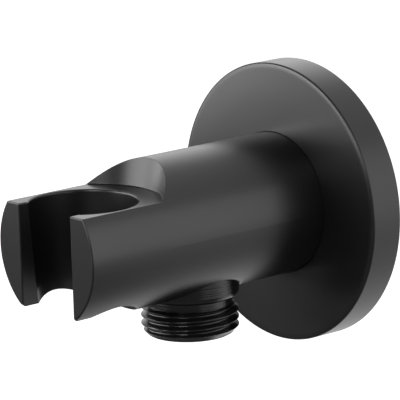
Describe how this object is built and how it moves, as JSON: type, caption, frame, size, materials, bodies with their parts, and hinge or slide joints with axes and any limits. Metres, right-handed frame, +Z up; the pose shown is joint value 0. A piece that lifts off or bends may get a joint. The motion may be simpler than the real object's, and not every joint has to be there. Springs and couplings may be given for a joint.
{
  "type": "shower wall outlet with handset holder",
  "caption": "Matt black round wall outlet for a shower hose, with a slotted cradle for the hand shower at its front end and a downward threaded hose connection.",
  "frame": {"origin": "on the axis of the round body, at the face of the wall, inside the inlet thread", "axes": "+Y into the wall along the inlet thread, the body stands out along -Y, +Z up, +X to the right of someone who faces the wall"},
  "size_m": [0.061, 0.0832, 0.061],
  "materials": {
    "satin_black": "satin powder coat on brass",
    "gloss_black": "semi-gloss black plating on brass",
    "rubber": "plain black rubber"
  },
  "bodies": {
    "root": {"holder_body": "satin_black", "wall_flange": "satin_black", "flange_o_ring": "rubber", "outlet_nipple": "gloss_black", "outlet_seal": "rubber", "inlet_nipple": "gloss_black", "inlet_seal": "rubber"}
  },
  "joints": []
}
